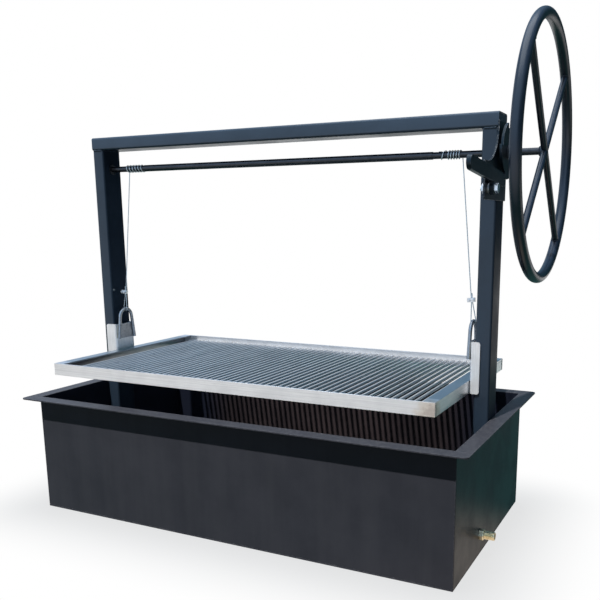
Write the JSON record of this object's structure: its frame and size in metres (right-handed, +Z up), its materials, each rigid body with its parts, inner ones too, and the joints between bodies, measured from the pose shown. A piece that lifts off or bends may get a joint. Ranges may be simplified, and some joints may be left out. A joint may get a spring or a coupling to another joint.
{
  "type": "charcoal grill with a cable-lifted grate",
  "caption": "Open charcoal grill: a drop-in steel firebox, posts and beam, and a round-bar grate that a handwheel raises and lowers on cables, held by a ratchet lever.",
  "frame": {"origin": "centre of the firebox underside", "axes": "+Z up, +X along the shaft towards the handwheel, -Y towards the cook"},
  "size_m": [1.3395, 0.67, 1.2389],
  "materials": {
    "firebox_paint": "satin charcoal black, high-temperature paint",
    "frame_paint": "satin blue-black paint",
    "gloss_paint": "gloss black paint",
    "shaft_steel": "dark oiled steel",
    "stainless": "brushed stainless",
    "zinc": "bright zinc plate",
    "wire": "stranded steel wire",
    "brass": "dull brass"
  },
  "bodies": {
    "frame": {"firebox_floor": "firebox_paint", "firebox_front": "firebox_paint", "firebox_back": "firebox_paint", "firebox_left": "firebox_paint", "firebox_right": "firebox_paint", "flange_front": "firebox_paint", "flange_back": "firebox_paint", "flange_left": "firebox_paint", "flange_right": "firebox_paint", "left_post": "frame_paint", "right_post": "frame_paint", "top_beam": "frame_paint", "beam_end_caps": "frame_paint", "left_shaft_bush": "shaft_steel", "right_shaft_bush": "shaft_steel", "side_plate": "frame_paint", "pivot_bolt": "zinc", "pivot_nut": "zinc", "pivot_spacer": "zinc", "post_screws": "frame_paint", "fitting_body": "brass", "fitting_nut": "brass"},
    "wheel": {"lift_shaft": "shaft_steel", "shaft_sleeve": "shaft_steel", "left_winding": "wire", "right_winding": "wire", "cable_anchors": "stainless", "ratchet_disc": "shaft_steel", "ratchet_collar": "shaft_steel", "shaft_collar": "shaft_steel", "collar_screw": "zinc", "wheel_rim": "gloss_paint", "wheel_hub": "gloss_paint", "spoke_through": "gloss_paint", "spoke_upper": "gloss_paint", "spoke_lower": "gloss_paint"},
    "pawl": {"pawl_lever": "gloss_paint"},
    "grate": {"rail_front": "stainless", "rail_back": "stainless", "rail_left": "stainless", "rail_right": "stainless", "grate_bars": "stainless", "left_guide": "stainless", "right_guide": "stainless", "left_hoop_plate": "stainless", "right_hoop_plate": "stainless", "left_hoop": "stainless", "right_hoop": "stainless", "left_eye": "wire", "right_eye": "wire", "clamp_saddles": "zinc", "clamp_u_bolts": "zinc", "clamp_nuts": "zinc", "left_lift_cable": "wire", "right_lift_cable": "wire"}
  },
  "joints": [
    {"name": "wheel_spin", "type": "hinge", "parent": "frame", "child": "wheel", "pos_m": [0, 0, 0.9465], "axis": [1, 0, 0], "range_deg": [-1440, 1584]},
    {"name": "grate_lift", "type": "slide", "parent": "frame", "child": "grate", "axis": [0, 0, 1], "range_m": [-0.2401, 0.2641], "deforming": ["left_lift_cable", "right_lift_cable"]},
    {"name": "pawl_turn", "type": "hinge", "parent": "frame", "child": "pawl", "pos_m": [0, -0.12, 0.8635], "axis": [1, 0, 0], "range_deg": [-10, 12]}
  ],
  "couplings": [
    {"joint": "grate_lift", "follows": "wheel_spin", "m_per_rad": 0.00955}
  ]
}
